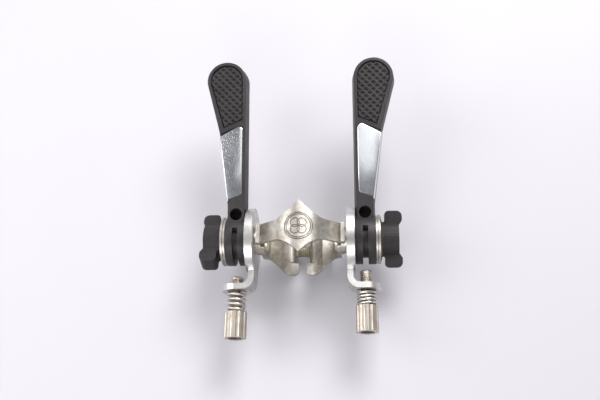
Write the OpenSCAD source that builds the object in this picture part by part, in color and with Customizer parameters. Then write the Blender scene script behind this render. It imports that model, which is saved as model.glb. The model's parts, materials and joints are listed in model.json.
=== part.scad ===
// Pair of friction shift levers on a quill-stem clamp.
// The stem runs along Y, the lever pivots lie along X, and +Z points away from the stem's front.

/* [Stem clamp] */
// Diameter of the quill stem that the clamp grips
stem_d = 22.2; // [22.2, 25.4]
// Thickness of the clamp plates
sheet_t = 1.5; // [1.2:0.1:1.8]
// Height of the front plate above its middle line at the upper point
diamond_up = 11; // [9:0.1:13]
// Height of the front plate below its middle line at the lower point
diamond_down = 10.3; // [9:0.1:13]
// Half width of the clamp plates at their ears
ear_half = 5.6; // [5:0.1:6.5]
// Half width of the rear plates behind the stem
rear_half = 12.2; // [11:0.1:13]

/* [Levers] */
// Distance from the pivot to the tip of a lever
lever_len = 76; // [70:0.5:84]
// Radius of the round lever head
head_r = 8.8; // [8:0.1:9.5]
// Angle by which the levers lean forward of the stem at rest
lever_tilt = 10; // [0:1:20]
// Radius of the cable drum
drum_r = 9.85; // [9.5:0.05:10.5]
// Width of the cable drum
drum_w = 8.2; // [8:0.1:9]
// Diameter of the hole for the end of the inner cable
nipple_d = 5; // [4.6:0.1:5.4]
// Travel of a lever forward from rest, in degrees
lever_forward = 90; // [60:5:100]
// Travel of a lever backward from rest, in degrees
lever_back = 24; // [10:1:30]

/* [Barrel adjusters] */
// Diameter of the adjuster's thread
thread_d = 5; // [5, 6]
// Diameter of the fluted head
barrel_d = 8.8; // [8.4:0.1:9.4]
// Length of the fluted head
barrel_len = 10.2; // [9:0.1:13]
// Number of flutes round the head
flutes = 10; // [8:1:14]
// Diameter of the socket for the cable housing
housing_d = 5.4; // [5.2:0.1:5.6]
// Number of turns of the barrel spring
spring_turns = 4; // [3:1:6]
// Length of the left spring at the left adjuster's present setting
left_spring_len = 8.2; // [4.6:0.1:8.6]
// Length of the right spring at the right adjuster's present setting
right_spring_len = 6.1; // [4.6:0.1:8.6]

/* [Wing nuts] */
// Distance between the tips of the wings
wing_span = 22.6; // [20:0.1:24]
// Diameter of the hub
hub_d = 14; // [12:0.5:15]

/* [Hidden] */
$fn = 64;

stem_r = stem_d / 2;
pivot_z = -3;
gap = 0.05;

// Places along the pivot, from the stem outward
rear_ear_x = stem_r + 3.5;
front_ear_x = rear_ear_x + sheet_t;
spacer_x = front_ear_x + sheet_t;
spacer_t = 0.9;
bracket_x = spacer_x + spacer_t;
bracket_t = 2.3;
stop_x = bracket_x + bracket_t;
stop_t = 0.8;
drum_x = stop_x + stop_t + 0.15;
drum_end_x = drum_x + drum_w;
washer_t = 0.7;
friction_x = drum_end_x + gap;
fibre_x = friction_x + washer_t;
cover_x = fibre_x + washer_t;
cover_t = 1.0;
cover_dish = 0.5;
dish_w = 2.4;
nut_x = cover_x + cover_t + gap;
nut_len = 7.9;
waist_len = 6.6;
wing_lean = 1.1;
nut_turn = 18;
insert_r = 4;
insert_len = waist_len - 0.4;
stud_end_x = nut_x + insert_len - 0.6;
groove_x = drum_x + drum_w / 2;
arc_steps = 5;

// Pivot stack radii
stud_r = 2.5;
bush_r = 4;
lever_bore_r = bush_r + 0.04;
disc_r = 9.9;
plate_r = 13.4;
washer_r = 9.7;
groove_w = 2.2;
groove_depth = 2.6;
groove_start = 63;
groove_sweep = 240;
stop_slot_r = 7.6;
stop_pin_r = 0.9;
stop_pin_angle = 100;
lug_start = 10.6;
lug_end = 15.4;
lug_half = 3.2;
lug_t = 1.9;
cable_way_r = 0.8;

// Front plate outline and bends
diamond_y = 1;
diamond_end_x = 10;
arm_half = 4.05;
wrap_angle = 38;
ear_top_z = 3.6;
bend_r = 2.4;

// Rear plates
shoulder_z = -8.2;
fold_r = 2.2;
flange_gap = 3;
flange_fold_y = 7.2;
lip_gap = 1.6;
lip_r = 2.2;
rear_ear_top_z = 1.2;
bolt_z = -stem_r - 6.4;
flange_end_z = bolt_z - 5.2;
clamp_bolt_r = 2.5;

// Barrel adjuster places
barrel_x = groove_x;
barrel_z = -5.4;
tab_y = -18.2;
tab_t = 2.3;
tab_r = 5.8;
leg_bend_r = 2.6;
spring_wire = 1;
thread_len = 14.3;
bore_r = 1.1;
housing_depth = 8;

// Lever outline, from the pivot outward
inner_x = drum_x;
neck_x = drum_end_x;
neck_y = 14;
waist_x = inner_x + 12.1;
waist_y = lever_len - 31.2;
head_y = lever_len - head_r;
head_x = inner_x + head_r;
arm_top = 6.6;
arm_bottom = 0.4;
rim_w = 1.4;
pad_depth = 1.1;
inlay_t = 0.7;
inlay_side = 3.2;
inlay_low_y = 15.6;
inlay_high_y = waist_y + 1.8;
nipple_y = 10.2;
nipple_floor = 1.2;

// Length of a barrel spring, and the place of the adjuster's head against it
function spring_len(side) = side == "left" ? left_spring_len : right_spring_len;
function head_top_y(side) = tab_y - tab_t - spring_len(side) - 2 * gap;

// Turns a shape drawn along +Z so that it runs along +X or -Y
module along_x() { rotate([90, 0, 90]) children(); }
module along_minus_y() { rotate([90, 0, 0]) children(); }

// Puts a shape on the right-hand pivot, or mirrored on the left-hand one
module on_side(side) {
    if (side == "left") mirror([1, 0, 0]) children();
    else children();
}

// A disc or tube on the pivot axis
module pivot_ring(x, len, outer_r, inner_r) {
    translate([x, 0, pivot_z])
        along_x()
            difference() {
                cylinder(h = len, r = outer_r);
                translate([0, 0, -1]) cylinder(h = len + 2, r = inner_r);
            }
}

// A solid rod on the pivot axis
module pivot_rod(x, len, r) {
    translate([x, 0, pivot_z]) along_x() cylinder(h = len, r = r);
}

// Extrudes an outline drawn in X and Z along Y, half of it on each side of zero
module across_y(half) {
    translate([0, half, 0]) rotate([90, 0, 0]) linear_extrude(height = 2 * half) children();
}

// Four-pointed outline with concave edges, as the front plate has it from above
module diamond_outline(up, down, end_half, end_x) {
    function edge(t, from, to) = to + (from - to) * pow(1 - t, 1.6);
    steps = 8;
    square([60, 2 * end_half], center = true);
    polygon(concat(
        [for (i = [0 : steps]) [end_x * i / steps, edge(i / steps, up, end_half)]],
        [for (i = [steps : -1 : 0]) [end_x * i / steps, -edge(i / steps, down, end_half)]],
        [for (i = [1 : steps]) [-end_x * i / steps, -edge(i / steps, down, end_half)]],
        [for (i = [steps : -1 : 1]) [-end_x * i / steps, edge(i / steps, up, end_half)]]
    ));
}

// Section of the front plate: wrapped over the stem, sloping to the ears and bent down at both ends
module front_section(grow) {
    r = stem_r + grow;
    tx = r * sin(wrap_angle);
    tz = r * cos(wrap_angle);
    ear = front_ear_x + grow;
    corner_z = tz - (ear - tx) * tan(wrap_angle);
    polygon([[-ear, -30], [-ear, corner_z], [-tx, tz], [tx, tz], [ear, corner_z], [ear, -30]]);
    intersection() {
        circle(r = r, $fn = 96);
        translate([-tx, 0]) square([2 * tx, r + 1]);
    }
}

module front_plate() {
    color([0.66, 0.64, 0.6])
        difference() {
            union() {
                intersection() {
                    across_y(20) difference() {
                        front_section(sheet_t);
                        front_section(0);
                    }
                    translate([0, diamond_y, ear_top_z - 1.5]) linear_extrude(height = 20)
                        diamond_outline(diamond_up, diamond_down, arm_half, diamond_end_x);
                }
                for (s = [-1, 1]) intersection() {
                    translate([s * (front_ear_x + sheet_t / 2), 0, 0])
                        cube([sheet_t, 4 * ear_half, 60], center = true);
                    union() {
                        translate([0, 0, pivot_z]) rotate([0, 90, 0])
                            cylinder(h = 60, r = ear_half, center = true);
                        translate([-30, diamond_y - arm_half, pivot_z])
                            cube([60, 2 * arm_half, ear_top_z - pivot_z + 1]);
                    }
                }
            }
            translate([-30, 0, pivot_z]) along_x() cylinder(h = 60, r = stud_r + 0.15);
            rotate([90, 0, 0]) cylinder(h = 60, r = stem_r, center = true, $fn = 96);
            engraving();
        }
}

// Shallow engraved double ring with a four-lobed knot
module engraving() {
    top = stem_r + sheet_t;
    depth = 0.22;
    line = 0.3;
    translate([0, diamond_y, top - depth - 1.5])
        intersection() {
            union() {
                for (r = [5.6, 4.9]) difference() {
                    cylinder(h = 4, r = r);
                    translate([0, 0, -1]) cylinder(h = 6, r = r - line);
                }
                for (a = [45 : 90 : 315]) rotate([0, 0, a]) translate([1.9, 0, 0]) difference() {
                    cylinder(h = 4, r = 1.9);
                    translate([0, 0, -1]) cylinder(h = 6, r = 1.9 - line);
                }
            }
            translate([0, 0, -top + depth + 1.5]) rotate([90, 0, 0]) difference() {
                cylinder(h = 30, r = top + 2, center = true, $fn = 96);
                cylinder(h = 40, r = top - depth, center = true, $fn = 96);
            }
        }
}

// Section of the right-hand rear plate: ear, shoulder below the pivot, wrap behind the stem
module rear_section(grow) {
    ear = rear_ear_x + grow;
    circle(r = stem_r + grow, $fn = 96);
    polygon([[0, 30], [ear, 30], [ear, shoulder_z - grow], [6.5 + grow / 3, -7 - grow], [0, -7 - grow]]);
}

// Points of an arc, in degrees from one angle to another
function arc(x, y, r, from, to) = [
    for (i = [0 : arc_steps]) let (a = from + (to - from) * i / arc_steps) [x + r * cos(a), y + r * sin(a)]
];

// Outline of the right-hand rear plate from above, wider behind the stem than at the ear
module rear_outline() {
    steps = 8;
    start = 15;
    stop = 5.2;
    function half(x) = ear_half + (rear_half - ear_half) * (1 - cos(180 * (start - x) / (start - stop))) / 2;
    xs = [for (i = [0 : steps]) start - (start - stop) * i / steps];
    polygon(concat(
        [[30, -ear_half], [30, ear_half]],
        [for (x = xs) [x, half(x)]],
        arc(lip_gap + lip_r, rear_half - lip_r, lip_r, 90, 180),
        arc(lip_gap + lip_r, lip_r - rear_half, lip_r, 180, 270),
        [for (i = [steps : -1 : 0]) [xs[i], -half(xs[i])]]
    ));
}

// Flange that the fold turns down, with a round end below the clamp bolt
module rear_flange(top_z) {
    half = flange_fold_y - 0.4;
    translate([flange_gap, -half, bolt_z]) cube([sheet_t, 2 * half, top_z - bolt_z]);
    intersection() {
        translate([flange_gap, 0, bolt_z]) along_x() cylinder(h = sheet_t, r = half);
        translate([0, -20, flange_end_z]) cube([20, 40, bolt_z - flange_end_z]);
    }
}

module rear_plate(side) {
    half = flange_fold_y - 0.4;
    fold_x = flange_gap + fold_r;
    fold_z = -sqrt(pow(stem_r, 2) - pow(fold_x, 2)) - 0.4;
    color([0.62, 0.6, 0.56])
        on_side(side) difference() {
            union() {
                difference() {
                    intersection() {
                        across_y(20) difference() {
                            rear_section(sheet_t);
                            rear_section(0);
                        }
                        translate([0, 0, -30]) linear_extrude(height = 30 + pivot_z) rear_outline();
                    }
                    translate([-20, -flange_fold_y, -30]) cube([20 + fold_x, 2 * flange_fold_y, 30]);
                }
                // round end of the ear
                translate([rear_ear_x, -ear_half, pivot_z - 3]) cube([sheet_t, 2 * ear_half, 3]);
                intersection() {
                    translate([rear_ear_x, 0, pivot_z]) along_x() cylinder(h = sheet_t, r = ear_half);
                    translate([0, -20, rear_ear_top_z - 40]) cube([40, 40, 40]);
                }
                // fold from the wrap into the flange
                translate([fold_x, half, fold_z - fold_r]) rotate([90, 0, 0])
                    intersection() {
                        difference() {
                            cylinder(h = 2 * half, r = fold_r);
                            translate([0, 0, -1]) cylinder(h = 40, r = fold_r - sheet_t);
                        }
                        translate([-fold_r - 1, -0.4, 0]) cube([fold_r + 1.3, fold_r + 1.4, 40]);
                    }
                rear_flange(fold_z - fold_r);
            }
            translate([-30, 0, pivot_z]) along_x() cylinder(h = 60, r = stud_r + 0.15);
            translate([-30, 0, bolt_z]) along_x() cylinder(h = 60, r = clamp_bolt_r + 0.25);
        }
}

module clamp_bolt() {
    head_h = 3.4;
    head_x = -flange_gap - sheet_t - head_h;
    color([0.72, 0.68, 0.5]) {
        translate([head_x, 0, bolt_z]) along_x() cylinder(h = head_h, r = 4.6, $fn = 6);
        translate([head_x + head_h, 0, bolt_z]) along_x() rod_with_thread(17, clamp_bolt_r, 0.8, 2);
    }
}

// A rod whose thread is drawn as ring grooves from a given length on
module rod_with_thread(len, r, pitch, plain) {
    depth = 0.28;
    turns = floor((len - plain - 0.5) / pitch);
    rotate_extrude()
        polygon(concat(
            [[0, 0], [r, 0], [r, plain]],
            [for (i = [0 : turns - 1]) for (k = [0, 1])
                [k == 0 ? r - depth : r, plain + (i + (k == 0 ? 0.5 : 1)) * pitch]],
            [[r, len - 0.4], [r - 0.4, len], [0, len]]
        ));
}

module clamp_washer() {
    color([0.7, 0.7, 0.7])
        translate([flange_gap + sheet_t, 0, bolt_z]) along_x() difference() {
            cylinder(h = 1, r = 4.8);
            translate([0, 0, -1]) cylinder(h = 4, r = clamp_bolt_r + 0.05);
        }
}

module clamp_nut() {
    color([0.7, 0.7, 0.68])
        translate([flange_gap + sheet_t + 1, 0, bolt_z]) along_x() difference() {
            cylinder(h = 4, r = 4.6, $fn = 6);
            translate([0, 0, -1]) cylinder(h = 7, r = clamp_bolt_r + 0.01);
        }
}

module bracket(side) {
    bend_y = tab_y + leg_bend_r;
    color([0.8, 0.8, 0.8])
        on_side(side) difference() {
            union() {
                pivot_rod(bracket_x, bracket_t, plate_r);
                translate([bracket_x, bend_y, barrel_z - tab_r]) cube([bracket_t, -bend_y, 2 * tab_r]);
                translate([stop_x + leg_bend_r, bend_y, barrel_z - tab_r])
                    rotate([0, 0, 180])
                        rotate_extrude(angle = 90)
                            translate([leg_bend_r, 0]) square([bracket_t, 2 * tab_r]);
                translate([stop_x + leg_bend_r, tab_y - tab_t, barrel_z - tab_r])
                    cube([barrel_x - stop_x - leg_bend_r, tab_t, 2 * tab_r]);
                translate([barrel_x, tab_y, barrel_z]) along_minus_y() cylinder(h = tab_t, r = tab_r);
            }
            translate([bracket_x - 1, 0, pivot_z]) along_x() cylinder(h = 9, r = stud_r + 0.15);
            translate([barrel_x, tab_y + 1, barrel_z]) along_minus_y() cylinder(h = 9, r = thread_d / 2 + 0.05);
        }
}

module pivot_bolt(side) {
    head_h = 1;
    color([0.7, 0.7, 0.72])
        on_side(side) {
            translate([rear_ear_x - head_h, 0, pivot_z]) along_x() cylinder(h = head_h, r = 4.2);
            translate([rear_ear_x, 0, pivot_z]) along_x()
                rod_with_thread(stud_end_x - rear_ear_x, stud_r, 0.8, cover_x - rear_ear_x);
        }
}

module ear_spacer(side) {
    color([0.55, 0.5, 0.45]) on_side(side) pivot_ring(spacer_x, spacer_t, 5.2, stud_r + 0.1);
}

// Plate beside the drum: an arc slot whose ends stop the lever, and a lug that bears on the bracket's leg
module stop_plate(side) {
    slot_half = stop_pin_r + 0.15;
    pin_angle = asin(slot_half / stop_slot_r);
    from = stop_pin_angle - lever_back - pin_angle;
    to = stop_pin_angle + lever_forward + pin_angle;
    color([0.78, 0.75, 0.66])
        on_side(side) translate([stop_x, 0, pivot_z]) along_x() difference() {
            union() {
                cylinder(h = stop_t, r = plate_r - 0.3);
                rotate([0, 0, -90]) translate([lug_start, -lug_half, 0])
                    cube([lug_end - lug_start, 2 * lug_half, lug_t]);
            }
            translate([0, 0, -1]) cylinder(h = 4, r = stud_r + 0.1);
            translate([0, 0, -1]) rotate([0, 0, from])
                rotate_extrude(angle = to - from)
                    translate([stop_slot_r - slot_half, 0]) square([2 * slot_half, 4]);
        }
}

module bush(side) {
    color([0.75, 0.65, 0.35])
        on_side(side) pivot_ring(stop_x + stop_t, drum_w + 0.15 + gap, bush_r, stud_r + 0.05);
}

// Puts a lever piece, drawn along +Y with its front towards +Z, on its pivot
module on_lever(side) {
    on_side(side) translate([0, 0, pivot_z]) rotate([lever_tilt, 0, 0]) children();
}

// Outline of the whole lever from the front
module lever_outline() {
    tangent = -13;
    polygon([
        [inner_x, 0], [neck_x, 0], [neck_x, neck_y], [waist_x, waist_y],
        [head_x + head_r * cos(tangent), head_y + head_r * sin(tangent)],
        [head_x, head_y], [inner_x, head_y]
    ]);
    translate([head_x, head_y]) circle(r = head_r);
}

// Outline of the recessed grip pad
module pad_outline() {
    intersection() {
        offset_outline();
        polygon([[0, inlay_high_y + 3], [waist_x - 1, inlay_high_y - 0.2], [waist_x + 20, inlay_high_y - 3],
            [60, 120], [0, 120]]);
    }
}

// The lever outline drawn smaller by the rim's width
module offset_outline() {
    r = head_r - rim_w;
    tangent = -13;
    polygon([
        [inner_x + rim_w, waist_y - 8], [waist_x - rim_w - 1.6, waist_y - 8],
        [head_x + r * cos(tangent), head_y + r * sin(tangent)],
        [head_x, head_y], [inner_x + rim_w, head_y]
    ]);
    translate([head_x, head_y]) circle(r = r);
}

// Outline of the metal inlay from the front
module inlay_outline() {
    edge = 1.7;
    polygon([
        [inner_x + edge, inlay_low_y + 3], [inner_x + edge, inlay_high_y + 0.4],
        [inner_x + edge + 1.2, inlay_high_y + 0.9], [waist_x, waist_y - 1.9],
        [neck_x + 0.28, inlay_low_y]
    ]);
}

// Strip along the outer edge that the inlay's side flange takes up
module inlay_edge_strip() {
    polygon([
        [neck_x - inlay_t + 0.28, inlay_low_y], [neck_x + 0.28, inlay_low_y],
        [waist_x, waist_y - 1.9], [waist_x - inlay_t, waist_y - 1.9]
    ]);
}

module inlay_solid() {
    intersection() {
        union() {
            translate([0, 0, arm_top - inlay_t]) linear_extrude(height = inlay_t) inlay_outline();
            translate([0, 0, arm_top - inlay_side]) linear_extrude(height = inlay_side) inlay_edge_strip();
        }
        linear_extrude(height = 20) lever_outline();
    }
}

module lever(side) {
    color([0.13, 0.13, 0.14])
        on_lever(side) difference() {
            union() {
                translate([0, 0, arm_bottom]) linear_extrude(height = arm_top - arm_bottom) lever_outline();
                translate([drum_x, 0, 0]) along_x() cylinder(h = drum_w, r = drum_r);
                translate([drum_x - stop_t, 0, 0]) along_x() rotate([0, 0, stop_pin_angle - lever_tilt])
                    translate([stop_slot_r, 0, 0]) cylinder(h = stop_t + 1, r = stop_pin_r);
            }
            translate([drum_x - 1, 0, 0]) along_x() cylinder(h = drum_w + 2, r = lever_bore_r);
            translate([groove_x - groove_w / 2, 0, 0]) along_x() rotate([0, 0, groove_start])
                rotate_extrude(angle = groove_sweep)
                    translate([drum_r - groove_depth, 0]) square([groove_depth + 3, groove_w]);
            translate([groove_x, nipple_y, nipple_floor]) cylinder(h = 20, r = nipple_d / 2);
            translate([groove_x, nipple_y, 5.5]) rotate([90, 0, 0]) cylinder(h = nipple_y - 4.4, r = cable_way_r);
            translate([0, 0, arm_top - pad_depth]) linear_extrude(height = 5) pad_outline();
            inlay_solid();
        }
}

module lever_inlay(side) {
    color([0.75, 0.78, 0.82]) on_lever(side) inlay_solid();
}

module friction_washer(side) {
    color([0.82, 0.8, 0.76]) on_side(side) pivot_ring(friction_x, washer_t, washer_r, stud_r + 0.1);
}

module fibre_washer(side) {
    color([0.18, 0.17, 0.17]) on_side(side) pivot_ring(fibre_x, washer_t, disc_r - dish_w - 0.1, stud_r + 0.1);
}

module cover_disc(side) {
    color([0.8, 0.78, 0.74])
        on_side(side) translate([cover_x, 0, pivot_z]) along_x() rotate_extrude()
            polygon([
                [stud_r + 0.1, 0], [disc_r - dish_w, 0], [disc_r, -cover_dish], [disc_r, cover_t - cover_dish - 0.2],
                [disc_r - dish_w, cover_t], [stud_r + 0.1, cover_t]
            ]);
}

// Outline of a wing nut from its edge: two blunt wings that lean outward, and a waist between them
module wing_profile() {
    tip = wing_span / 2;
    half = concat(
        [[waist_len, 5.4], [nut_len, 7.4]],
        arc(nut_len - 2.2, tip - 2.2, 2.2, 0, 90),
        arc(wing_lean + 1.4, tip - 1.4, 1.4, 90, 180),
        [[wing_lean, 7.4], [0, 6.4]]
    );
    polygon(concat(half, [for (i = [len(half) - 1 : -1 : 0]) [half[i][0], -half[i][1]]]));
}

module wing_nut(side) {
    wing_t = 7.2;
    turn = side == "left" ? -nut_turn : nut_turn;
    color([0.12, 0.12, 0.13])
        on_side(side) translate([nut_x, 0, pivot_z]) rotate([turn, 0, 0]) difference() {
            union() {
                translate([0, 0, -wing_t / 2]) linear_extrude(height = wing_t) wing_profile();
                along_x() cylinder(h = waist_len, r = hub_d / 2);
            }
            translate([-1, 0, 0]) along_x() cylinder(h = insert_len + 1, r = insert_r);
        }
}

// Threaded metal insert moulded into the wing nut
module nut_insert(side) {
    color([0.78, 0.68, 0.4]) on_side(side) pivot_ring(nut_x, insert_len, insert_r, stud_r + 0.05);
}

module barrel_spring(side) {
    coil_r = 3.5;
    post_r = 0.4;
    pitch = (spring_len(side) - spring_wire) / (spring_turns - 1);
    color([0.7, 0.69, 0.66])
        on_side(side) translate([barrel_x, tab_y - tab_t - gap, barrel_z]) along_minus_y() {
            for (i = [0 : spring_turns - 1]) translate([0, 0, spring_wire / 2 + i * pitch])
                rotate_extrude() translate([coil_r, 0]) circle(r = spring_wire / 2, $fn = 24);
            for (i = [0 : spring_turns - 2]) rotate([0, 0, 180 * (i % 2)])
                translate([coil_r, 0, spring_wire / 2 + i * pitch]) cylinder(h = pitch, r = post_r, $fn = 24);
        }
}

module barrel_adjuster(side) {
    flute_r = 0.95;
    flute_out = 0.55;
    color([0.7, 0.66, 0.58])
        on_side(side) translate([barrel_x, head_top_y(side), barrel_z]) difference() {
            union() {
                rotate([-90, 0, 0]) rod_with_thread(thread_len, thread_d / 2 - 0.02, 0.8, 1.2);
                along_minus_y() difference() {
                    cylinder(h = barrel_len, r = barrel_d / 2);
                    for (i = [0 : flutes - 1]) rotate([0, 0, 360 * i / flutes])
                        translate([barrel_d / 2 + flute_out, 0, -1])
                            cylinder(h = barrel_len + 2, r = flute_r, $fn = 24);
                }
            }
            translate([0, -barrel_len - 1, 0]) rotate([-90, 0, 0]) cylinder(h = 60, r = bore_r);
            translate([0, -barrel_len - 1, 0]) rotate([-90, 0, 0])
                cylinder(h = housing_depth + 1, r = housing_d / 2);
        }
}

front_plate();
rear_plate("left");  // left_rear_plate
rear_plate("right");  // right_rear_plate
clamp_bolt();
clamp_washer();
clamp_nut();
bracket("left");  // left_bracket
bracket("right");  // right_bracket
pivot_bolt("left");  // left_pivot_bolt
pivot_bolt("right");  // right_pivot_bolt
ear_spacer("left");  // left_ear_spacer
ear_spacer("right");  // right_ear_spacer
stop_plate("left");  // left_stop_plate
stop_plate("right");  // right_stop_plate
bush("left");  // left_bush
bush("right");  // right_bush
lever("left");  // left_lever
lever("right");  // right_lever
lever_inlay("left");  // left_lever_inlay
lever_inlay("right");  // right_lever_inlay
friction_washer("left");  // left_friction_washer
friction_washer("right");  // right_friction_washer
fibre_washer("left");  // left_fibre_washer
fibre_washer("right");  // right_fibre_washer
cover_disc("left");  // left_cover_disc
cover_disc("right");  // right_cover_disc
wing_nut("left");  // left_wing_nut
wing_nut("right");  // right_wing_nut
nut_insert("left");  // left_nut_insert
nut_insert("right");  // right_nut_insert
barrel_spring("left");  // left_barrel_spring
barrel_spring("right");  // right_barrel_spring
barrel_adjuster("left");  // left_barrel_adjuster
barrel_adjuster("right");  // right_barrel_adjuster
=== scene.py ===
import json
import math

import bmesh
import bpy
import numpy as np
from mathutils import Matrix, Vector


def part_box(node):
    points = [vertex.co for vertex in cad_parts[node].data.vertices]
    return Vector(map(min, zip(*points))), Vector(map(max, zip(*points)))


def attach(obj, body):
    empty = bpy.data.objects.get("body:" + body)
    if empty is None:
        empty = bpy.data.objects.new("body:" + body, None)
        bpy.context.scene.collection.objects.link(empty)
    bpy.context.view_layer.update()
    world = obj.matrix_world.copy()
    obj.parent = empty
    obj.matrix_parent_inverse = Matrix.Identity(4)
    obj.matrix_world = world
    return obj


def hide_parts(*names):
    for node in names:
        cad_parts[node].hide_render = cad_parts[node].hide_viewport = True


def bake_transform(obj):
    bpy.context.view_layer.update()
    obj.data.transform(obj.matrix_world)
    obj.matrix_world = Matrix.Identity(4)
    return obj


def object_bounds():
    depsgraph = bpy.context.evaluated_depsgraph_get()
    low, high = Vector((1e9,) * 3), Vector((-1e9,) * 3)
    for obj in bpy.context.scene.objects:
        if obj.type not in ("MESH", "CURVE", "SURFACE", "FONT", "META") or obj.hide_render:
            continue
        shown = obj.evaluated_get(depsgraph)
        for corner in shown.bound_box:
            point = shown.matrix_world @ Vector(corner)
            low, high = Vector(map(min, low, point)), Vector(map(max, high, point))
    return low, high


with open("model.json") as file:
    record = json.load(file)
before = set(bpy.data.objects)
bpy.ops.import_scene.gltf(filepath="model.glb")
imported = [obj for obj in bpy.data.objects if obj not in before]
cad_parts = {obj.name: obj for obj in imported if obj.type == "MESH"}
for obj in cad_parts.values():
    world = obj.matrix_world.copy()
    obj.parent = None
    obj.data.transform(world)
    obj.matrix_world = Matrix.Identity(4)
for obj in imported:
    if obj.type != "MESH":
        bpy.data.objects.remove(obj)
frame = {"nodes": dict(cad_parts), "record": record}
cad_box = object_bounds()

MM = 0.001
SIDES = {"left": -1, "right": 1}

# Camera: it looks at a point between the levers, tilted back from straight above
LOOK_AT = Vector((-0.5, 16.6, 0)) * MM
DISTANCE = 295 * MM
TILT = math.radians(68.1)
TURN = math.radians(5.0)
ROLL = math.radians(0.66)
LENS_MM = 43.2
SENSOR_MM = 36.0

# Middle of the engraving along the stem
ENGRAVING_Y = 1.0


# ---------------------------------------------------------------- materials

class Mat:
    """A small helper that wires up one procedural material."""

    def __init__(self, name, color, metallic, roughness):
        self.mat = bpy.data.materials.new(name)
        self.mat.use_nodes = True
        self.tree = self.mat.node_tree
        self.bsdf = self.tree.nodes["Principled BSDF"]
        self.bsdf.inputs["Base Color"].default_value = (*color, 1)
        self.bsdf.inputs["Metallic"].default_value = metallic
        self.bsdf.inputs["Roughness"].default_value = roughness
        self.coord = self.tree.nodes.new("ShaderNodeTexCoord").outputs["Object"]
        self.height = None

    def node(self, kind, **values):
        n = self.tree.nodes.new(kind)
        for key, value in values.items():
            if key in n.inputs:
                n.inputs[key].default_value = value
            else:
                setattr(n, key, value)
        return n

    def link(self, a, b):
        self.tree.links.new(a, b)

    def mapped(self, scale=(1, 1, 1), turn=(0, 0, 0)):
        n = self.node("ShaderNodeMapping")
        n.inputs["Scale"].default_value = scale
        n.inputs["Rotation"].default_value = turn
        self.link(self.coord, n.inputs["Vector"])
        return n.outputs["Vector"]

    def noise(self, size_mm, detail=4, rough=0.6, scale=(1, 1, 1), turn=(0, 0, 0), distortion=0.0):
        n = self.node("ShaderNodeTexNoise")
        n.inputs["Scale"].default_value = 1 / (size_mm * MM)
        n.inputs["Detail"].default_value = detail
        n.inputs["Roughness"].default_value = rough
        n.inputs["Distortion"].default_value = distortion
        self.link(self.mapped(scale, turn), n.inputs["Vector"])
        return n.outputs["Fac"]

    def grey(self, value, low, high, out_low, out_high):
        n = self.node("ShaderNodeMapRange")
        for key, v in zip(("From Min", "From Max", "To Min", "To Max"), (low, high, out_low, out_high)):
            n.inputs[key].default_value = v
        self.link(value, n.inputs["Value"])
        return n.outputs["Result"]

    def math(self, op, a, b):
        n = self.node("ShaderNodeMath", operation=op)
        for k, v in enumerate((a, b)):
            if isinstance(v, (int, float)):
                n.inputs[k].default_value = v
            else:
                self.link(v, n.inputs[k])
        return n.outputs[0]

    def mix(self, fac, a, b):
        n = self.node("ShaderNodeMix", data_type="RGBA")
        for key, v in (("Factor", fac), ("A", a), ("B", b)):
            sockets = [s for s in n.inputs if s.name == key and s.enabled]
            if isinstance(v, tuple):
                sockets[0].default_value = (*v, 1)
            elif isinstance(v, (int, float)):
                sockets[0].default_value = v
            else:
                self.link(v, sockets[0])
        return [s for s in n.outputs if s.enabled][0]

    def edges(self, radius_mm, low=0.03, high=0.3):
        """How close a point is to an outer edge, from 0 to 1."""
        n = self.node("ShaderNodeBevel", samples=4)
        n.inputs["Radius"].default_value = radius_mm * MM
        geo = self.node("ShaderNodeNewGeometry")
        dot = self.node("ShaderNodeVectorMath", operation="DOT_PRODUCT")
        self.link(n.outputs["Normal"], dot.inputs[0])
        self.link(geo.outputs["Normal"], dot.inputs[1])
        return self.grey(dot.outputs["Value"], 1 - low, 1 - high, 0, 1)

    def color_from(self, output):
        self.link(output, self.bsdf.inputs["Base Color"])

    def rough_from(self, output):
        self.link(output, self.bsdf.inputs["Roughness"])

    def bump(self, output, depth_mm, strength=1.0):
        n = self.node("ShaderNodeBump")
        n.inputs["Distance"].default_value = depth_mm * MM
        n.inputs["Strength"].default_value = strength
        self.link(output, n.inputs["Height"])
        if self.height:
            self.link(self.height, n.inputs["Normal"])
        self.height = n.outputs["Normal"]
        self.link(self.height, self.bsdf.inputs["Normal"])

    def scratches(self, count=3, size_mm=0.35, stretch=26, seed=0):
        """Fine straight scratches in a few directions, as bright lines on 0."""
        total = None
        for i in range(count):
            angle = math.radians(25 + 67 * i + 13 * seed)
            n = self.noise(size_mm, 2, 0.5, scale=(1, 1 / stretch, 1), turn=(0, 0, angle))
            line = self.grey(n, 0.66, 0.72, 0, 1)
            total = line if total is None else self.math("MAXIMUM", total, line)
        return total


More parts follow.
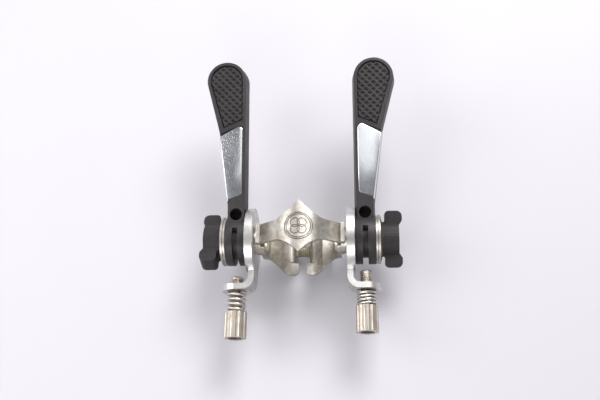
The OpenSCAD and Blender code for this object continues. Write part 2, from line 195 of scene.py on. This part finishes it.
def moulded_plastic(name, dark, light, roughness, ribs=False):
    """Charcoal plastic: faint clouds, a fine moulded grain, a little dust, and a painted highlight along the
    edges.
    """
    m = Mat(name, dark, 0, roughness)
    m.bsdf.inputs["Specular IOR Level"].default_value = 0.24
    cloudy = m.noise(7, 5, 0.65)
    base = m.mix(m.grey(cloudy, 0.35, 0.7, 0, 1), dark, light)
    dust = m.grey(m.noise(0.8, 6, 0.8), 0.64, 0.8, 0, 0.3)
    # dust specks, and a painted highlight that lightens the edges
    dust_and_edge_highlight = m.math("MAXIMUM", dust, m.math("MULTIPLY", m.edges(0.35), 0.55))
    m.color_from(m.mix(dust_and_edge_highlight, base, (0.1, 0.095, 0.095)))
    m.rough_from(m.grey(cloudy, 0.3, 0.7, roughness - 0.08, roughness + 0.12))
    m.bump(m.noise(0.2, 3, 0.6), 0.02, 0.5)
    m.bump(m.noise(1.6, 3, 0.5), 0.03, 0.3)
    if ribs:
        wave = m.node("ShaderNodeTexWave", wave_type="BANDS", bands_direction="Y")
        wave.inputs["Scale"].default_value = 0.31 / (0.62 * MM)
        wave.inputs["Distortion"].default_value = 0.6
        m.link(m.coord, wave.inputs["Vector"])
        m.bump(wave.outputs["Fac"], 0.08, 0.7)
    return m.mat


def lever_plastic():
    return moulded_plastic("lever_plastic", (0.026, 0.0235, 0.024), (0.037, 0.034, 0.0345), 0.42)


def nut_plastic():
    return moulded_plastic("nut_plastic", (0.019, 0.017, 0.017), (0.029, 0.0265, 0.0265), 0.46, ribs=True)


def fibre():
    m = Mat("fibre", (0.03, 0.027, 0.026), 0, 0.85)
    m.color_from(m.mix(m.noise(0.6, 4, 0.7), (0.02, 0.018, 0.018), (0.06, 0.052, 0.048)))
    m.bump(m.noise(0.3, 3, 0.7), 0.04, 0.6)
    return m.mat


def tarnished_metal(name, clean, stain, amount, rough_low, rough_high, spot_mm=5, scratch=0.5,
                    full=False):
    """Plated steel that has dulled in patches and is scratched."""
    m = Mat(name, clean, 1, rough_low)
    patches = m.noise(spot_mm, 6, 0.7, distortion=0.4)
    speck = m.noise(0.55, 5, 0.75)
    stained = m.grey(patches, 0.5 - amount / 2, 0.86 - amount / 2, 0, 1)
    spots = m.grey(speck, 0.55, 0.7, 0, 0.75)
    base = m.mix(stained, clean, stain)
    grain = m.grey(m.noise(0.28, 4, 0.8), 0.5, 0.68, 0, 0.5)
    base = m.mix(grain, base, tuple(c * 0.62 for c in clean))
    base = m.mix(spots, base, tuple(c * 0.55 for c in stain))
    lines = m.scratches(3, 0.3, 22)
    base = m.mix(m.math("MULTIPLY", m.edges(0.3), 0.3), base, tuple(min(1, c * 1.25) for c in clean))
    base = m.mix(m.math("MULTIPLY", lines, 0.35 * scratch), base, (0.86, 0.85, 0.83))
    m.color_from(base)
    rough = m.grey(patches, 0.35, 0.75, rough_low, rough_high)
    m.rough_from(m.math("ADD", rough, m.math("MULTIPLY", speck, 0.12)))
    m.bump(lines, 0.006, scratch)
    m.bump(m.noise(0.9, 5, 0.65), 0.012, 0.6)
    m.bump(m.noise(4, 2, 0.5), 0.02, 0.4)
    return (m.mat, m, base) if full else m.mat


def clamp_steel():
    """Dull plated steel; on the front plate the engraved lines are darkened with painted shade."""
    mat, m, base = tarnished_metal(
        "clamp_steel", (0.66, 0.645, 0.61), (0.33, 0.29, 0.24), 0.46, 0.3, 0.46, 4, 1.0, full=True)
    flat = m.node("ShaderNodeVectorMath", operation="MULTIPLY_ADD")
    m.link(m.coord, flat.inputs[0])
    flat.inputs[1].default_value = (1, 1, 0)
    flat.inputs[2].default_value = (0, -ENGRAVING_Y * MM, 0)
    lines = ring_lines(m, flat.outputs[0], (0, 0), (5.45, 4.75), 0.17)
    for corner in range(4):
        angle = math.radians(45 + 90 * corner)
        at = (1.9 * math.cos(angle), 1.9 * math.sin(angle))
        lines = m.math("MAXIMUM", lines, ring_lines(m, flat.outputs[0], at, (1.75,), 0.15))
    axes = m.node("ShaderNodeSeparateXYZ")
    m.link(m.coord, axes.inputs[0])
    on_top = m.math("GREATER_THAN", axes.outputs["Z"], 9 * MM)
    broken = m.grey(m.noise(1.1, 4, 0.7), 0.36, 0.5, 0.45, 0.8)
    lines = m.math("MULTIPLY", m.math("MULTIPLY", lines, on_top), broken)
    # painted shade darkens the engraved rings on the front plate, broken up by noise
    m.color_from(m.mix(lines, base, (0.13, 0.12, 0.105)))
    return mat


def ring_lines(m, point, centre_mm, radii_mm, half_mm):
    """1 on thin circles round a centre, 0 elsewhere."""
    shift = m.node("ShaderNodeVectorMath", operation="SUBTRACT")
    m.link(point, shift.inputs[0])
    shift.inputs[1].default_value = (centre_mm[0] * MM, centre_mm[1] * MM, 0)
    length = m.node("ShaderNodeVectorMath", operation="LENGTH")
    m.link(shift.outputs[0], length.inputs[0])
    total = None
    for r in radii_mm:
        off = m.math("ABSOLUTE", m.math("SUBTRACT", length.outputs["Value"], r * MM), 0)
        line = m.grey(off, half_mm * MM, half_mm * 1.8 * MM, 1, 0)
        total = line if total is None else m.math("MAXIMUM", total, line)
    return total


def bright_steel():
    return tarnished_metal("bright_steel", (0.7, 0.7, 0.685), (0.5, 0.475, 0.435), 0.16, 0.22, 0.43, 3, 0.6)


def zinc_fastener():
    return tarnished_metal("zinc_fastener", (0.72, 0.68, 0.55), (0.42, 0.38, 0.27), 0.3, 0.25, 0.5, 2.5, 0.4)


def brass():
    return tarnished_metal("brass", (0.8, 0.63, 0.33), (0.5, 0.38, 0.2), 0.25, 0.22, 0.4, 3, 0.4)


def spring_steel():
    return tarnished_metal("spring_steel", (0.74, 0.72, 0.68), (0.42, 0.39, 0.34), 0.25, 0.2, 0.42, 2.5, 0.2)


def barrel_metal():
    return tarnished_metal("barrel_metal", (0.62, 0.585, 0.535), (0.42, 0.35, 0.275), 0.42, 0.3, 0.48, 3, 0.8)


def polished_inlay():
    """Polished aluminium sheet with fine wiping scratches."""
    m = Mat("polished_inlay", (0.8, 0.81, 0.83), 1, 0.16)
    smudge = m.noise(14, 3, 0.55)
    fine = m.noise(0.4, 6, 0.8)
    lines = m.scratches(4, 0.16, 40, 1)
    base = m.mix(m.grey(fine, 0.45, 0.7, 0, 0.6), (0.80, 0.82, 0.855), (0.56, 0.585, 0.625))
    # a painted highlight makes the sheet's edges near white
    base = m.mix(m.math("MULTIPLY", m.edges(0.3), 0.8), base, (0.95, 0.95, 0.95))
    m.color_from(m.mix(m.math("MULTIPLY", lines, 0.35), base, (0.95, 0.95, 0.96)))
    rough = m.grey(smudge, 0.35, 0.7, 0.13, 0.22)
    m.rough_from(m.math("ADD", rough, m.math("MULTIPLY", lines, 0.1)))
    m.bump(lines, 0.006, 0.7)
    m.bump(fine, 0.006, 0.5)
    return m.mat


MATERIALS = {f.__name__: f() for f in (
    lever_plastic, nut_plastic, fibre, clamp_steel, bright_steel, zinc_fastener, brass, spring_steel,
    barrel_metal, polished_inlay,
)}
SLOT_OF = {row["node"]: row["material_slot"] for row in frame["record"]["subparts"]}


def dress_cad_nodes():
    """Give each CAD node the detailed material of its slot."""
    for name, obj in frame["nodes"].items():
        obj.data.materials.clear()
        obj.data.materials.append(MATERIALS[SLOT_OF[name]])


dress_cad_nodes()


# ---------------------------------------------------------------- finer pieces

PIVOT_Z = -3.0
LEVER_TILT = math.radians(10)


def low(node, axis):
    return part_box(node)[0][axis] / MM


def high(node, axis):
    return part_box(node)[1][axis] / MM


DRUM_IN = 21.75
LEVER_TOP = 76.0
HEAD_R = 8.8
HEAD_X = DRUM_IN + HEAD_R
HEAD_Y = LEVER_TOP - HEAD_R
NECK_X = DRUM_IN + 8.2
NECK_Y = 14.0
WAIST_X = DRUM_IN + 12.1
WAIST_Y = LEVER_TOP - 31.2
ARM_LOW, ARM_TOP = 0.4, 6.6
DRUM_R = 9.85
GROOVE_X = (DRUM_IN + NECK_X) / 2
HEAD_START = math.radians(-13)


def arc(x, y, r, start, stop, steps):
    angles = [start + (stop - start) * i / steps for i in range(steps + 1)]
    return [(x + r * math.cos(a), y + r * math.sin(a)) for a in angles]


def finish_piece(name, side, body, slot, bm, replaces=None, smooth=35, seat=None):
    """Turns a mesh drawn in millimetres on the right-hand side into a dressed piece of the model."""
    if seat:
        bmesh.ops.transform(bm, matrix=seat, verts=bm.verts)
    if side == "left":
        bmesh.ops.scale(bm, vec=(-1, 1, 1), verts=bm.verts)
        bmesh.ops.reverse_faces(bm, faces=bm.faces)
    bmesh.ops.scale(bm, vec=(MM, MM, MM), verts=bm.verts)
    mesh = bpy.data.meshes.new(name)
    bm.to_mesh(mesh)
    bm.free()
    mesh.materials.append(MATERIALS[slot])
    for face in mesh.polygons:
        face.use_smooth = True
    mesh.set_sharp_from_angle(angle=math.radians(smooth))
    obj = bpy.data.objects.new(name, mesh)
    bpy.context.scene.collection.objects.link(obj)
    if body:
        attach(obj, body)
    if replaces:
        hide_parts(*replaces)
    return obj


def lever_seat():
    """Places a lever piece, drawn along +Y with its front towards +Z, on its pivot."""
    return Matrix.Translation((0, 0, PIVOT_Z)) @ Matrix.Rotation(LEVER_TILT, 4, "X")


def loop_faces(bm, rings, close_top=True, close_bottom=True):
    """Joins closed rings of points, each given as a list of 3-D points, into a skin."""
    made = [[bm.verts.new(p) for p in ring] for ring in rings]
    count = len(made[0])
    for a, b in zip(made, made[1:]):
        for i in range(count):
            j = (i + 1) % count
            bm.faces.new((a[i], a[j], b[j], b[i]))
    if close_bottom:
        bm.faces.new(list(reversed(made[0])))
    if close_top:
        bm.faces.new(made[-1])
    return made


def bevelled(obj, width_mm, segments=3, angle=30):
    mod = obj.modifiers.new("rounded edges", "BEVEL")
    mod.width = width_mm * MM
    mod.segments = segments
    mod.limit_method = "ANGLE"
    mod.angle_limit = math.radians(angle)
    mod.harden_normals = True
    return obj


def soften_cad_edges():
    """Pressed and turned metal has slightly rounded edges."""
    widths = {
        "front_plate": 0.22, "bracket": 0.4, "rear_plate": 0.3, "cover_disc": 0.12,
        "friction_washer": 0.12, "stop_plate": 0.15, "barrel_adjuster": 0.1, "wing_nut": 0.55,
        "clamp_bolt": 0.1, "clamp_nut": 0.25,
    }
    for name, obj in frame["nodes"].items():
        for kind, width in widths.items():
            if name.endswith(kind):
                bevelled(obj, width, 2, 40)


soften_cad_edges()


RIM = 1.95
PAD_FLOOR = ARM_TOP - 1.1
INLAY_HIGH_Y = WAIST_Y + 1.8
LATTICE_PITCH = 3.0
LATTICE_STEP = 0.16


def pad_corners():
    """Outline of the recessed grip pad, from the front."""
    r = HEAD_R - RIM
    low_out = (WAIST_X - RIM - 0.3, INLAY_HIGH_Y - 0.2)
    low_in = (DRUM_IN + RIM, INLAY_HIGH_Y + 3.2)
    return [low_in, low_out] + arc(HEAD_X, HEAD_Y, r, HEAD_START, math.pi, 24)


def edge_distance(points, corners):
    """Distance from each point to a closed outline, positive inside it."""
    nearest = np.full(len(points), 1e9)
    inside = np.zeros(len(points), bool)
    px, py = points[:, 0], points[:, 1]
    for (ax, ay), (bx, by) in zip(corners, corners[1:] + corners[:1]):
        ex, ey = bx - ax, by - ay
        t = np.clip(((px - ax) * ex + (py - ay) * ey) / (ex * ex + ey * ey), 0, 1)
        nearest = np.minimum(nearest, np.hypot(px - ax - t * ex, py - ay - t * ey))
        crosses = (ay > py) != (by > py)
        if abs(ey) > 1e-9:
            inside ^= crosses & (px < ax + (py - ay) * ex / ey)
    return np.where(inside, nearest, -nearest)


def inset(points, amount):
    """A closed outline moved inwards by an amount, with mitred corners. The outline runs anticlockwise."""
    out = []
    for before, here, after in zip(points[-1:] + points[:-1], points, points[1:] + points[:1]):
        a = Vector((here[0] - before[0], here[1] - before[1])).normalized()
        b = Vector((after[0] - here[0], after[1] - here[1])).normalized()
        n = Vector((-a.y - b.y, a.x + b.x))
        n *= 2 / max(n.length_squared, 0.8)
        out.append((here[0] + n.x * amount, here[1] + n.y * amount))
    return out


DRAFT = 0.75
EDGE = 0.3


def lever_corners():
    """Outline of the lever's foot print, anticlockwise from the pivot."""
    return (
        [(DRUM_IN, 0), (NECK_X, 0), (NECK_X, NECK_Y), (WAIST_X, WAIST_Y)]
        + arc(HEAD_X, HEAD_Y, HEAD_R, HEAD_START, math.pi, 40)
    )


def level(points, z):
    return [Vector((x, y, z)) for x, y in points]


def drafted_rings(corners, bottom, top, draft, edge):
    """Rings of a moulded block: sides that lean in towards the top, then a rounded front edge."""
    rings = [level(inset(corners, 0.25), bottom), level(corners, bottom + 0.25)]
    lean = draft * (top - edge - bottom - 0.25) / (top - bottom)
    for step in range(5):
        a = math.radians(90 * step / 4)
        rings.append(level(inset(corners, lean + edge * (1 - math.cos(a))), top - edge + edge * math.sin(a)))
    return rings


def cutter(name, bm, side):
    """A hidden shape that is subtracted from a piece and then removed."""
    bmesh.ops.transform(bm, matrix=lever_seat(), verts=bm.verts)
    if side == "left":
        bmesh.ops.scale(bm, vec=(-1, 1, 1), verts=bm.verts)
        bmesh.ops.reverse_faces(bm, faces=bm.faces)
    bmesh.ops.scale(bm, vec=(MM, MM, MM), verts=bm.verts)
    bmesh.ops.recalc_face_normals(bm, faces=bm.faces)
    mesh = bpy.data.meshes.new(name)
    bm.to_mesh(mesh)
    bm.free()
    obj = bpy.data.objects.new(name, mesh)
    bpy.context.scene.collection.objects.link(obj)
    return obj


def block(rings):
    bm = bmesh.new()
    loop_faces(bm, rings)
    return bm


def rod(radius, start, end, sides=64):
    """A closed cylinder between two points."""
    bm = bmesh.new()
    axis = (end - start).normalized()
    one = axis.orthogonal().normalized()
    two = axis.cross(one)
    ring = [
        one * radius * math.cos(2 * math.pi * i / sides) + two * radius * math.sin(2 * math.pi * i / sides)
        for i in range(sides)
    ]
    loop_faces(bm, [[start + p for p in ring], [end + p for p in ring]])
    return bm


def subtract(obj, tools):
    """Cuts the tools out of a piece, and keeps the result as its mesh."""
    for tool in tools:
        mod = obj.modifiers.new("cut", "BOOLEAN")
        mod.operation = "DIFFERENCE"
        mod.solver = "EXACT"
        mod.object = tool
    bpy.context.view_layer.update()
    made = bpy.data.meshes.new_from_object(obj.evaluated_get(bpy.context.evaluated_depsgraph_get()))
    obj.modifiers.clear()
    obj.data = made
    made.set_sharp_from_angle(angle=math.radians(28))


INLAY_LOW_Y = 15.6
INLAY_EDGE = 1.7
INLAY_T = 0.7
NIPPLE_Y = 10.2
GROOVE_W = 2.2
GROOVE_DEPTH = 2.6
BORE_R = 4.04
STOP_PIN_R = 0.9
STOP_SLOT_R = 7.6
STOP_T = 0.8
NIPPLE_R = 2.5
NIPPLE_FLOOR = 1.2
CABLE_WAY_R = 0.8
BARREL_Z = -5.4


def inlay_corners(extra=0.0):
    """Outline of the metal inlay, anticlockwise, with its upper inner corner rounded."""
    left = DRUM_IN + INLAY_EDGE
    out_low = (NECK_X + 0.28, INLAY_LOW_Y)
    out_high = (WAIST_X, WAIST_Y - 1.9)
    slope = math.atan2(INLAY_HIGH_Y + 0.9 - out_high[1], out_high[0] - left)
    r = 1.6
    cx = left + r
    cy = INLAY_HIGH_Y + 0.9 - r * (1 / math.cos(slope)) + math.tan(slope) * -r * 0.35
    corner = arc(cx, cy, r, math.pi / 2 - slope, math.pi, 7)
    points = [out_low, out_high] + corner + [(left, INLAY_LOW_Y + 3)]
    return inset(points, -extra) if extra else points


def inlay(side):
    """Polished sheet let into the lever, folded down over its outer edge."""
    corners = inlay_corners()
    top = ARM_TOP - 0.02
    rings = [level(corners, top - 3.1), level(corners, top - 0.55)]
    bm = bmesh.new()
    r = 0.42
    shaped = []
    for step in range(6):
        a = math.radians(90 * step / 5)
        shaped.append(level(inset(corners, r * (1 - math.cos(a))), top - r + r * math.sin(a)))
    # the outer side leans like the lever's own side
    for ring in rings + shaped:
        for k in (0, 1):
            ring[k].x -= DRAFT * (ring[k].z - ARM_LOW) / (ARM_TOP - ARM_LOW) - 0.02
    # only the outer edge is folded down, so the rest of the lowest ring is raised
    for point in rings[0][2:]:
        point.z = top - INLAY_T
    loop_faces(bm, rings + shaped)
    return finish_piece(
        side + "_inlay_sheet", side, side + "_lever", "polished_inlay", bm,
        [side + "_lever_inlay"], 40, lever_seat())


def lever_tools(side):
    """Everything that is hollowed out of the lever."""
    pad = block([level(pad_corners(), PAD_FLOOR), level(inset(pad_corners(), -0.12), ARM_TOP + 1)])
    seat_rings = [level(inlay_corners(0.16), ARM_TOP - INLAY_T), level(inlay_corners(0.16), ARM_TOP + 1)]
    for ring in seat_rings:
        for k in (0, 1):
            ring[k].x += 2
    sheet_seat = block(seat_rings)
    edge_line = [
        (NECK_X - 0.75, INLAY_LOW_Y), (NECK_X + 3, INLAY_LOW_Y),
        (WAIST_X + 3, WAIST_Y - 1.9 - 0.9), (WAIST_X - 1.75, WAIST_Y - 1.5),
    ]
    side_seat = block([level(edge_line, ARM_TOP - 3.3), level(edge_line, ARM_TOP + 1)])
    hole = rod(NIPPLE_R, Vector((GROOVE_X, NIPPLE_Y, NIPPLE_FLOOR)), Vector((GROOVE_X, NIPPLE_Y, 12)))
    way = rod(CABLE_WAY_R, Vector((GROOVE_X, 4.4, 5.5)), Vector((GROOVE_X, NIPPLE_Y, 5.5)), 24)
    bore = rod(BORE_R, Vector((DRUM_IN - 2, 0, 0)), Vector((NECK_X + 2, 0, 0)))
    groove = bmesh.new()
    start, sweep, steps = 63, 240, 60
    rings = []
    for i in range(steps + 1):
        a = math.radians(start + sweep * i / steps)
        floor, clear = DRUM_R - GROOVE_DEPTH, DRUM_R + 3
        across = [(floor, -1), (clear, -1), (clear, 1), (floor, 1)]
        rings.append([
            Vector((GROOVE_X + k * GROOVE_W / 2, r * math.cos(a), r * math.sin(a))) for r, k in across
        ])
    loop_faces(groove, rings)
    shapes = {
        "pad": pad, "sheet": sheet_seat, "side": side_seat, "hole": hole, "way": way, "bore": bore,
        "groove": groove,
    }
    return {kind: cutter("tool_" + kind, bm, side) for kind, bm in shapes.items()}


def lever_body(side):
    """Moulded arm with drafted sides, and the cable drum at its foot."""
    tools = lever_tools(side)
    arm = finish_piece(
        side + "_lever_arm", side, side + "_lever", "lever_plastic",
        block(drafted_rings(lever_corners(), ARM_LOW, ARM_TOP, DRAFT, EDGE)), seat=lever_seat())
    subtract(arm, [tools[k] for k in ("pad", "sheet", "side", "hole", "way", "bore", "groove")])
    fillet = 0.35
    profile = [(0, DRUM_R - fillet), (fillet * 0.3, DRUM_R - fillet * 0.3), (fillet, DRUM_R)]
    wide = NECK_X - DRUM_IN
    profile += [(wide - x, r) for x, r in reversed(profile)]
    sides = 128
    rings = [
        [Vector((DRUM_IN + x, r * math.cos(2 * math.pi * i / sides), r * math.sin(2 * math.pi * i / sides)))
         for i in range(sides)] for x, r in profile
    ]
    drum_bm = block(rings)
    bmesh.ops.recalc_face_normals(drum_bm, faces=drum_bm.faces)
    drum = finish_piece(
        side + "_lever_drum", side, side + "_lever", "lever_plastic", drum_bm, seat=lever_seat())
    subtract(drum, [tools[k] for k in ("hole", "way", "bore", "groove")])
    pin_start = Vector((DRUM_IN - STOP_T, 0, STOP_SLOT_R))
    pin = rod(STOP_PIN_R, pin_start, Vector((DRUM_IN + 0.2, 0, STOP_SLOT_R)), 32)
    bmesh.ops.recalc_face_normals(pin, faces=pin.faces)
    finish_piece(side + "_stop_pin", side, side + "_lever", "lever_plastic", pin, seat=lever_seat())
    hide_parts(side + "_lever")
    for tool in tools.values():
        bpy.data.objects.remove(tool)


def grip_lattice(side):
    """Raised diagonal ridges with square pits between them, filling the recess of the grip."""
    corners = pad_corners()
    xs = np.arange(DRUM_IN + 1, HEAD_X + HEAD_R, LATTICE_STEP)
    ys = np.arange(INLAY_HIGH_Y - 1, LEVER_TOP, LATTICE_STEP)
    gx, gy = np.meshgrid(xs, ys)
    points = np.stack([gx.ravel(), gy.ravel()], 1)
    reach = edge_distance(points, corners)
    height = np.zeros(len(points))
    for sign in (-1, 1):
        wave = (points[:, 0] - HEAD_X + sign * points[:, 1]) / LATTICE_PITCH
        from_ridge = np.abs(wave - np.round(wave)) * LATTICE_PITCH / math.sqrt(2)
        height = np.maximum(height, np.clip((0.66 - from_ridge) / 0.34, 0, 1))
    height *= np.clip((reach - 0.25) / 0.35, 0, 1)
    z = PAD_FLOOR + 0.03 + 0.72 * height
    bm = bmesh.new()
    keep = reach > -0.02
    verts = [bm.verts.new((x, y, h)) if k else None for (x, y), h, k in zip(points, z, keep)]
    wide = len(xs)
    for j in range(len(ys) - 1):
        for i in range(wide - 1):
            at = j * wide + i
            quad = (verts[at], verts[at + 1], verts[at + wide + 1], verts[at + wide])
            if all(quad):
                bm.faces.new(quad)
    return finish_piece(
        side + "_grip_lattice", side, side + "_lever", "lever_plastic", bm, smooth=60, seat=lever_seat())


def helix_spring(side):
    """Compression spring with closed end coils, between the tab and the adjuster's head."""
    node = side + "_barrel_spring"
    y_top, y_end = high(node, 1), low(node, 1)
    coil_r, wire = 3.5, 0.5
    turns, steps, sides = 4.6, 56, 12
    bm = bmesh.new()
    rings = []
    total = int(turns * steps)
    room = y_top - y_end - 2 * wire
    for i in range(total + 1):
        turn = i / steps
        # the first and last half turn lie flat against the tab and the head
        free = min(max((turn - 0.45) / (turns - 0.9), 0), 1)
        y = y_top - wire - room * free
        angle = 2 * math.pi * turn + 2.2
        out = Vector((math.cos(angle), 0, math.sin(angle)))
        ring = []
        for k in range(sides):
            a = 2 * math.pi * k / sides
            offset = out * (coil_r + wire * math.cos(a)) + Vector((0, wire * math.sin(a), 0))
            ring.append(Vector((GROOVE_X, y, BARREL_Z)) + offset)
        rings.append(ring)
    loop_faces(bm, rings)
    bmesh.ops.recalc_face_normals(bm, faces=bm.faces)
    obj = finish_piece(side + "_coil_spring", side, None, "spring_steel", bm, [node], smooth=60)
    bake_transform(obj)


for side in SIDES:
    lever_body(side)
    inlay(side)
    grip_lattice(side)
    helix_spring(side)


# ---------------------------------------------------------------- the set

def add_camera():
    """The camera stands in front of the engraved face, a little to the right and below."""
    turn = Matrix.Rotation(TURN, 3, "Y")
    back = turn @ Vector((0, -math.cos(TILT), math.sin(TILT)))
    up = turn @ Vector((0, math.sin(TILT), math.cos(TILT)))
    right = up.cross(back)
    right, up = (
        math.cos(ROLL) * right + math.sin(ROLL) * up,
        math.cos(ROLL) * up - math.sin(ROLL) * right,
    )
    data = bpy.data.cameras.new("camera")
    data.lens = LENS_MM
    data.sensor_width = SENSOR_MM
    data.clip_start = 0.01
    camera = bpy.data.objects.new("camera", data)
    axes = Matrix((right, up, back)).transposed().to_4x4()
    camera.matrix_world = Matrix.Translation(LOOK_AT + back * DISTANCE) @ axes
    bpy.context.scene.collection.objects.link(camera)
    bpy.context.scene.camera = camera


def add_floor():
    """A plain pale floor under the clamp's flanges."""
    low, high = cad_box
    bm = bmesh.new()
    bmesh.ops.create_circle(bm, cap_ends=True, radius=1.6, segments=96)
    bmesh.ops.translate(bm, verts=bm.verts, vec=(0, 0, low[2] - 0.0001))
    mesh = bpy.data.meshes.new("floor")
    bm.to_mesh(mesh)
    bm.free()
    m = Mat("floor", (0.83, 0.81, 0.84), 0, 0.9)
    m.color_from(m.mix(m.noise(60, 3, 0.5), (0.515, 0.50, 0.535), (0.53, 0.515, 0.55)))
    mesh.materials.append(m.mat)
    obj = bpy.data.objects.new("floor", mesh)
    bpy.context.scene.collection.objects.link(obj)


def add_light(name, place_mm, size_mm, power, aim_mm=(0, 15, 0)):
    """A rectangular light at a place, aimed at a point; places in millimetres, power in watts."""
    data = bpy.data.lights.new(name, "AREA")
    data.shape = "RECTANGLE"
    data.size, data.size_y = (s * MM for s in size_mm)
    data.energy = power
    obj = bpy.data.objects.new(name, data)
    place = Vector(place_mm) * MM
    obj.location = place
    obj.rotation_euler = (Vector(aim_mm) * MM - place).to_track_quat("-Z", "Y").to_euler()
    bpy.context.scene.collection.objects.link(obj)


def add_lights():
    """An even studio world, three soft lights, and two panels for the polished faces."""
    world = bpy.data.worlds.new("studio")
    bpy.context.scene.world = world
    world.use_nodes = True
    tree = world.node_tree
    background = tree.nodes["Background"]
    coord = tree.nodes.new("ShaderNodeTexCoord")
    noise = tree.nodes.new("ShaderNodeTexNoise")
    noise.inputs["Scale"].default_value = 1.6
    noise.inputs["Detail"].default_value = 1.0
    ramp = tree.nodes.new("ShaderNodeValToRGB")
    ramp.color_ramp.elements[0].position = 0.4
    ramp.color_ramp.elements[0].color = (0.2, 0.2, 0.21, 1)
    ramp.color_ramp.elements[1].position = 0.62
    ramp.color_ramp.elements[1].color = (0.74, 0.73, 0.76, 1)
    tree.links.new(coord.outputs["Generated"], noise.inputs["Vector"])
    tree.links.new(noise.outputs["Fac"], ramp.inputs["Fac"])
    tree.links.new(ramp.outputs["Color"], background.inputs["Color"])
    background.inputs["Strength"].default_value = 1.0
    # two panels overhead that the flat polished faces mirror
    add_light("ceiling", (8, 130, 480), (165, 180), 0.09, (8, 130, 0))
    add_light("strip", (62, 226, 470), (120, 130), 0.14, (62, 222, 0))
    add_light("key", (190, 400, 430), (380, 260), 4.2)
    add_light("fill", (-420, 60, 330), (300, 400), 1.7)
    add_light("front", (-120, -430, 330), (420, 260), 1.6)


add_camera()
add_floor()
add_lights()
bpy.context.scene.view_settings.view_transform = "Standard"
